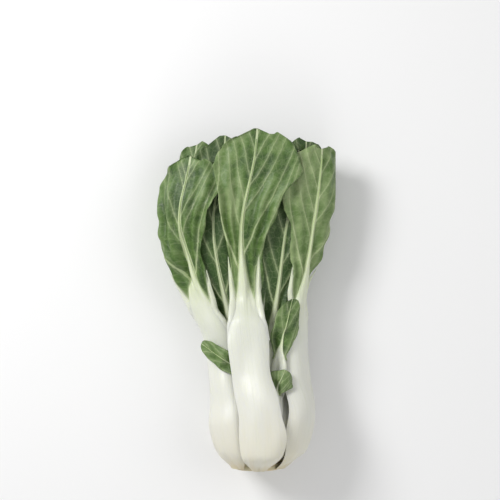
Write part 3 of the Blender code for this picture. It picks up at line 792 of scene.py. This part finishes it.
def finger_sheets(laid, side, seed):
    """The outer and inner sheet, and the marks, of the white finger on one side of the midrib."""
    along = np.linspace(FINGER_AT[0], FINGER_AT[-1], FINGER_GRID[0])[:, None]
    v = np.sin(np.linspace(-1, 1, FINGER_GRID[1]) * math.pi / 2)[None, :]
    s = np.where(along < 1, along * laid.split, laid.split + (along - 1) * (1 - laid.split)) * np.ones_like(v)
    along = laid.along(s)
    lies, wide = laid.finger(s, side)
    lateral = side * lies + v * wide
    u = lateral / laid.half(s, side)
    low = LEAF_THICKNESS * 0.6 * ease((along - 0.9) / 0.12)
    top = np.interp(along, FINGER_AT, FINGER_TOP) * laid.leaf.stalk_depth / FINGER_STALK_DEPTH
    dome = (top - low) * np.sqrt(1 - v ** 2)
    flat = np.stack([lateral, s * laid.length, 0 * lateral + seed], -1)
    marks = dict(along=along, across=0.3 + 0 * along, flat=flat)
    return laid.point_past(s, u, low + dome), laid.point_past(s, u, low), marks


def make_stalk(name, outer, inner, marks, fingers, material):
    """A closed stalk. Its foot is cut square, so the foot's rows stay apart and get a cap."""
    index, under, used, renumber = two_sheets(outer.shape, False)
    foot = np.stack([index[0, :-1], under[0, :-1], under[0, 1:], index[0, 1:]], -1)[1:-1]
    ends = [[index[0, 0], under[0, 1], index[0, 1]], [index[0, -1], index[0, -2], under[0, -2]]]
    points = stacked(outer, inner, used)
    both = {mark: stacked(values, values, used) for mark, values in marks.items()}
    faces = renumber[np.concatenate([sheet_quads(index, False), sheet_quads(under, True), foot])]
    for top, bottom, more in fingers:
        above, below, kept, anew = two_sheets(top.shape, True)
        faces = np.concatenate([faces, anew[sheet_quads(above, False)] + len(points),
                                anew[sheet_quads(below, True)] + len(points)])
        points = np.concatenate([points, stacked(top, bottom, kept)])
        for mark, values in more.items():
            both[mark] = np.concatenate([both[mark], stacked(values, values, kept)])
    piece = smooth_mesh(name, in_box(points), faces, both, [material], [len(faces)])
    work = bmesh.new()
    work.from_mesh(piece.data)
    work.verts.ensure_lookup_table()
    for end in ends:
        face = work.faces.new([work.verts[renumber[k]] for k in end])
        face.smooth = True
    for edge in work.edges:
        if len(edge.link_faces) == 2 and edge.calc_face_angle(0) > math.radians(SHARP_DEGREES):
            edge.smooth = False
    work.to_mesh(piece.data)
    work.free()
    return piece


def dress_crown(material):
    """The cut stem: a sliced face with faint rings, and the blunt cone that the leaves grow from."""
    turns = np.linspace(0, 2 * math.pi, CROWN_SIDES, endpoint=False)
    rings, flat = [], []
    for height, depth in CROWN_SKIN:
        on_face = 1 < depth < 14.9 and height < 1
        wobble = 0.18 * lumps(turns * 6, 0 * turns + depth, 2.0, 5) if on_face else 0
        rings.append(place(turns, np.full(CROWN_SIDES, depth), height + 0 * turns + wobble))
        flat.append(np.stack([np.cos(turns) * depth, np.sin(turns) * depth, 0 * turns + height], -1))
    points = np.clip(np.concatenate(rings), BOX_LOW, BOX_HIGH)
    index = np.arange(len(points)).reshape(len(rings), CROWN_SIDES)
    after = np.roll(index, -1, 1)
    faces = np.stack([index[:-1], after[:-1], after[1:], index[1:]], -1).reshape(-1, 4)
    marks = {"flat": np.concatenate(flat), "radius": np.repeat([d for _, d in CROWN_SKIN], CROWN_SIDES)}
    piece = smooth_mesh("crown_skin", points, faces, marks, [material], [len(faces)])
    work = bmesh.new()
    work.from_mesh(piece.data)
    work.verts.ensure_lookup_table()
    for ring in (index[0], index[-1]):
        bmesh.ops.contextual_create(work, geom=[work.verts[k] for k in ring])
    bmesh.ops.recalc_face_normals(work, faces=work.faces)
    work.to_mesh(piece.data)
    work.free()
    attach(piece, "root")
    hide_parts("crown")


class Tree:
    """Makes a material's nodes."""

    def __init__(self, name):
        self.material = bpy.data.materials.new(name)
        self.material.use_nodes = True
        self.nodes = self.material.node_tree.nodes
        self.links = self.material.node_tree.links
        self.shader = self.nodes["Principled BSDF"]

    def give(self, socket, value):
        if isinstance(value, bpy.types.NodeSocket):
            self.links.new(value, socket)
        elif value is not None:
            socket.default_value = value

    def shade(self, **inputs):
        for key, value in inputs.items():
            self.give(self.shader.inputs[key.replace("_", " ")], value)

    def node(self, kind, output=0, settings=None, **inputs):
        made = self.nodes.new(kind)
        for key, value in (settings or {}).items():
            setattr(made, key, value)
        for key, value in inputs.items():
            self.give(made.inputs[key.replace("_", " ")], value)
        return made.outputs[output]

    def math(self, operation, *values, kind="ShaderNodeMath"):
        made = self.nodes.new(kind)
        made.operation = operation
        for socket, value in zip(made.inputs, values):
            self.give(socket, value)
        return made.outputs[0]

    def vectors(self, operation, *values):
        return self.math(operation, *values, kind="ShaderNodeVectorMath")

    def mark(self, name, output="Fac"):
        return self.node("ShaderNodeAttribute", output, {"attribute_name": name})

    def ramp(self, value, low, high, to_low=0.0, to_high=1.0):
        return self.node("ShaderNodeMapRange", settings={"interpolation_type": "SMOOTHSTEP"}, Value=value,
                         From_Min=low, From_Max=high, To_Min=to_low, To_Max=to_high)

    def mix(self, share, a, b):
        made = self.nodes.new("ShaderNodeMix")
        made.data_type = "RGBA"
        for k, value in ((0, share), (6, a), (7, b)):
            self.give(made.inputs[k], value)
        return made.outputs[2]

    def colours(self, value, stops):
        made = self.nodes.new("ShaderNodeValToRGB")
        self.give(made.inputs[0], value)
        ramp = made.color_ramp
        ramp.elements[0].position, ramp.elements[0].color = stops[0]
        ramp.elements[1].position, ramp.elements[1].color = stops[-1]
        for at, colour in stops[1:-1]:
            ramp.elements.new(at).color = colour
        return made.outputs[0]

    def noise(self, vector, scale, detail=3.0, roughness=0.5):
        return self.node("ShaderNodeTexNoise", Vector=vector, Scale=scale, Detail=detail,
                         Roughness=roughness)

    def swing(self, noise, amount):
        """The noise about its middle, so much stronger."""
        return self.math("MULTIPLY", self.math("SUBTRACT", noise, 0.5), amount)

    def net(self, vector, scale, width):
        """Thin lines round cells, like a leaf's finest veins."""
        settings = {"feature": "DISTANCE_TO_EDGE"}
        far = self.node("ShaderNodeTexVoronoi", settings=settings, Vector=vector, Scale=scale)
        return self.ramp(far, 0.0, width, 1.0, 0.0)

    def bump(self, height, distance, strength):
        return self.node("ShaderNodeBump", Height=height, Distance=distance, Strength=strength)


def leaf_material(name, deep, mid, light, vein, vein_share, net_share, roughness):
    """Leaf tissue: pale side veins, a faint net between them, and slow drifts of tone."""
    t = Tree(name)
    flat = t.mark("flat", "Vector")
    drift = t.node("ShaderNodeTexNoise", output=1, Vector=flat, Scale=0.22, Detail=2.0)
    bent = t.vectors("MULTIPLY_ADD", drift, (3.0, 3.0, 0), flat)
    count, gap, wide = t.mark("count"), t.mark("gap"), t.mark("wide")
    off = t.math("MULTIPLY", t.math("SUBTRACT", count, t.math("ROUND", count)), gap)
    away = t.math("ABSOLUTE", t.math("ADD", off, t.swing(t.noise(flat, 0.35, 2.0), 1.6)))
    side_vein = t.ramp(t.math("SUBTRACT", away, t.math("MULTIPLY", wide, 0.5)), 0.0, 0.5, 1.0, 0.0)
    halo = t.ramp(away, 0.3, 3.5, 1.0, 0.0)
    rib = t.ramp(t.mark("rib"), 0.8, 1.3, 1.0, 0.0)
    coarse = t.net(bent, 0.13, 0.075)
    fine = t.net(bent, 0.42, 0.12)
    streak = t.noise(t.vectors("MULTIPLY", flat, (0.07, 0.02, 1.0)), 1.0, 3.0)
    # The tone mark carries each leaf's own tone and painted shade: darker inner leaves between the outer
    # ones, and darker pleat valleys.
    tone = t.math("ADD", t.mark("tone"), t.swing(t.noise(flat, 0.10, 4.0, 0.55), 1.4))
    tone = t.math("ADD", tone, t.swing(streak, 0.9))
    base = t.colours(tone, [(0.0, deep), (0.45, mid), (1.0, light)])
    base = t.mix(t.math("MULTIPLY", fine, net_share * 0.5), base, vein)
    base = t.mix(t.math("MULTIPLY", coarse, net_share), base, vein)
    base = t.mix(t.math("MULTIPLY", halo, 0.14), base, vein)
    strength = t.ramp(wide, 0.3, 1.3, vein_share * 0.35, vein_share)
    base = t.mix(t.math("MULTIPLY", side_vein, strength), base, vein)
    base = t.mix(t.ramp(t.mark("up_blade"), 0.0, 0.22, 0.22, 0.0), base, vein)
    base = t.mix(t.math("MULTIPLY", rib, 0.85), base, MIDRIB_COLOUR)
    base = t.mix(t.ramp(t.mark("finger"), 0.12, 0.75, 0.0, 0.95), base, FINGER_COLOUR)
    rough = t.ramp(t.noise(flat, 0.6, 3.0), 0.2, 0.8, roughness - 0.08, roughness + 0.1)
    grit = t.math("ADD", t.math("MULTIPLY", coarse, 0.35), t.math("MULTIPLY", fine, 0.22))
    grit = t.math("ADD", grit, t.math("MULTIPLY", t.noise(flat, 1.2, 3.0), 0.35))
    t.shade(Base_Color=base, Roughness=rough, Specular_IOR_Level=0.4, Subsurface_Weight=0.06,
            Subsurface_Radius=(0.35, 0.8, 0.15), Subsurface_Scale=0.0015,
            Normal=t.bump(grit, 0.0004, 0.5))
    return t.material


def stalk_material():
    """Ivory flesh with long fibres, greener up the leaf and at the blade's edges, browner at its foot."""
    t = Tree("stalk_flesh")
    flat = t.mark("flat", "Vector")
    along = t.mark("along")
    across = t.math("ABSOLUTE", t.mark("across"))
    fibre = t.noise(t.vectors("MULTIPLY", flat, (1.3, 0.022, 0.5)), 1.0, 4.0, 0.6)
    broad = t.noise(t.vectors("MULTIPLY", flat, (0.16, 0.02, 0.3)), 1.0, 3.0)
    tone = t.math("ADD", along, t.swing(broad, 0.35))
    colour = t.colours(t.math("MULTIPLY", tone, 0.5), STALK_COLOURS)
    green = t.math("MULTIPLY", t.ramp(across, 0.72, 1.0), t.ramp(along, 1.0, 1.15))
    colour = t.mix(t.math("MULTIPLY", green, 0.65), colour, EDGE_COLOUR)
    colour = t.mix(t.ramp(fibre, 0.50, 0.80, 0.0, 0.32), colour, FIBRE_COLOUR)
    speck = t.noise(t.vectors("MULTIPLY", flat, (0.5, 0.3, 1.0)), 1.0, 2.0)
    colour = t.mix(t.ramp(speck, 0.74, 0.80, 0.0, 0.35), colour, SPECK_COLOUR)
    near_foot = t.ramp(t.math("ADD", along, t.swing(broad, 0.05)), 0.0, 0.06, 0.6, 0.0)
    colour = t.mix(near_foot, colour, FOOT_COLOUR)
    t.shade(Base_Color=colour, Roughness=t.ramp(broad, 0.2, 0.8, 0.28, 0.42), Specular_IOR_Level=0.5,
            Subsurface_Weight=0.25, Subsurface_Radius=(1.0, 1.0, 0.6), Subsurface_Scale=0.003,
            Normal=t.bump(fibre, 0.0006, 0.5))
    return t.material


def crown_material():
    """A cut root end: mottled cream with faint rings, browned at its rim."""
    t = Tree("cut_root")
    flat = t.mark("flat", "Vector")
    radius = t.mark("radius")
    ring = t.node("ShaderNodeTexWave", settings={"wave_type": "RINGS", "rings_direction": "Z"}, Vector=flat,
                  Scale=0.16, Distortion=2.5, Detail=3.0)
    mottle = t.noise(flat, 0.35, 5.0, 0.6)
    colour = t.mix(t.ramp(mottle, 0.3, 0.7), CREAM_DARK, CREAM_LIGHT)
    colour = t.mix(t.math("MULTIPLY", ring, 0.22), colour, RING_COLOUR)
    colour = t.mix(t.ramp(radius, 12.5, 15.2, 0.0, 0.5), colour, RIM_COLOUR)
    colour = t.mix(t.ramp(mottle, 0.62, 0.8, 0.0, 0.6), colour, SPOT_COLOUR)
    t.shade(Base_Color=colour, Roughness=0.6, Subsurface_Weight=0.15, Subsurface_Scale=0.003,
            Normal=t.bump(mottle, 0.0008, 0.6))
    return t.material


def make_stage():
    """A pale floor, a white world and three soft lamps."""
    mesh = bpy.data.meshes.new("floor")
    far = FLOOR_REACH
    mesh.from_pydata([(-far, -far, 0), (far, -far, 0), (far, far, 0), (-far, far, 0)], [], [(0, 1, 2, 3)])
    floor = add_object("floor", mesh)
    pale = Tree("pale_floor")
    pale.shade(Base_Color=FLOOR_COLOUR, Roughness=0.8)
    mesh.materials.append(pale.material)
    floor.location.z = -FLOOR_DROP

    world = bpy.data.worlds.new("studio")
    world.use_nodes = True
    background = world.node_tree.nodes["Background"]
    background.inputs["Color"].default_value = (1, 1, 1, 1)
    background.inputs["Strength"].default_value = WORLD_STRENGTH
    bpy.context.scene.world = world
    bpy.context.scene.view_settings.view_transform = "Standard"
    for name, at, power, size in LAMPS:
        light = bpy.data.lights.new(name, "AREA")
        light.energy = power
        light.size = size
        lamp = add_object(name, light)
        lamp.location = at
        aim = Vector(at) - Vector(LAMP_AIM)
        lamp.rotation_euler = aim.to_track_quat("Z", "Y").to_euler()


def make_camera():
    """Looks straight down, so that the head stands in the frame as in the photograph."""
    data = bpy.data.cameras.new("camera")
    camera = add_object("camera", data)
    width = PHOTO_PIXELS * METRES_PER_PIXEL
    across = (PHOTO_PIXELS / 2 - ORIGIN_PIXEL[0]) * METRES_PER_PIXEL
    up = (ORIGIN_PIXEL[1] - PHOTO_PIXELS / 2) * METRES_PER_PIXEL
    camera.location = (across, up, CAMERA_HEIGHT)
    camera.rotation_euler = (0, 0, 0)
    data.lens = data.sensor_width * (CAMERA_HEIGHT - SCALE_LEVEL) / width
    bpy.context.scene.camera = camera


def main():
    under = leaf_material("leaf_under", **UNDERSIDE)
    upper = leaf_material("leaf_upper", **UPPER_SIDE)
    flesh = stalk_material()
    wrap = Wrap()
    for leaf in LEAVES:
        laid = LaidLeaf(leaf, wrap)
        dress_blade(laid, [under, upper])
        dress_stalk(laid, flesh)
    dress_crown(crown_material())
    make_stage()
    make_camera()


main()
